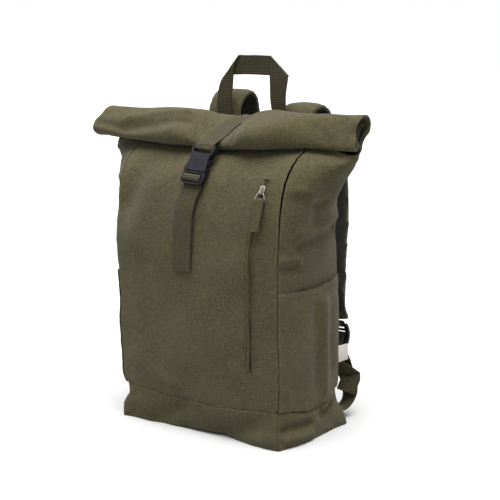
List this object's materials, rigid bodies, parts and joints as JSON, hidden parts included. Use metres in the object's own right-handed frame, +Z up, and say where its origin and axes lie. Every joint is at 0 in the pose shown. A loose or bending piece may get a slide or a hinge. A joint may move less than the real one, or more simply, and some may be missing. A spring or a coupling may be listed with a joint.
{
  "type": "rolltop backpack",
  "caption": "Canvas rolltop backpack standing upright, with a rolled and buckled top, zipped front, side pockets, carry handle and padded shoulder straps",
  "frame": {"origin": "middle of the flat base, on the floor", "axes": "+Z up the bag, -Y out of the front, +X to the right seen from the front"},
  "size_m": [0.4128, 0.2327, 0.491],
  "materials": {
    "canvas": "olive drab cotton canvas with a fine plain weave",
    "webbing": "olive woven webbing with a coarse rib",
    "plastic": "moulded black acetal, slightly glossy",
    "metal": "dull nickel plate",
    "zip": "dark zip tape and coil",
    "label": "plain woven label with nothing on it"
  },
  "bodies": {
    "bag": {"base_tray": "canvas", "front_panel": "canvas", "side_panel_right": "canvas", "side_panel_left": "canvas", "back_panel": "canvas", "side_pocket_right": "canvas", "side_pocket_left": "canvas", "roll_top": "canvas", "closure_strap": "webbing", "buckle_socket": "plastic", "buckle_plug": "plastic", "front_webbing": "webbing", "carry_handle": "webbing", "shoulder_strap_right": "canvas", "shoulder_strap_left": "canvas", "lock_loop_right": "webbing", "lock_loop_left": "webbing", "ladder_lock_right": "plastic", "ladder_lock_left": "plastic", "adjuster_webbing_right": "webbing", "adjuster_webbing_left": "webbing", "zip_tape": "zip", "zip_coil": "zip", "zip_slider": "metal", "seam_label": "label"},
    "zip_pull": {"zip_ring": "metal", "zip_puller": "canvas"}
  },
  "joints": [
    {"name": "zip_pull_swing", "type": "hinge", "parent": "bag", "child": "zip_pull", "pos_m": [0.1099, -0.06683, 0.33105], "axis": [-1, 0, 0], "range_deg": [0, 150]}
  ]
}
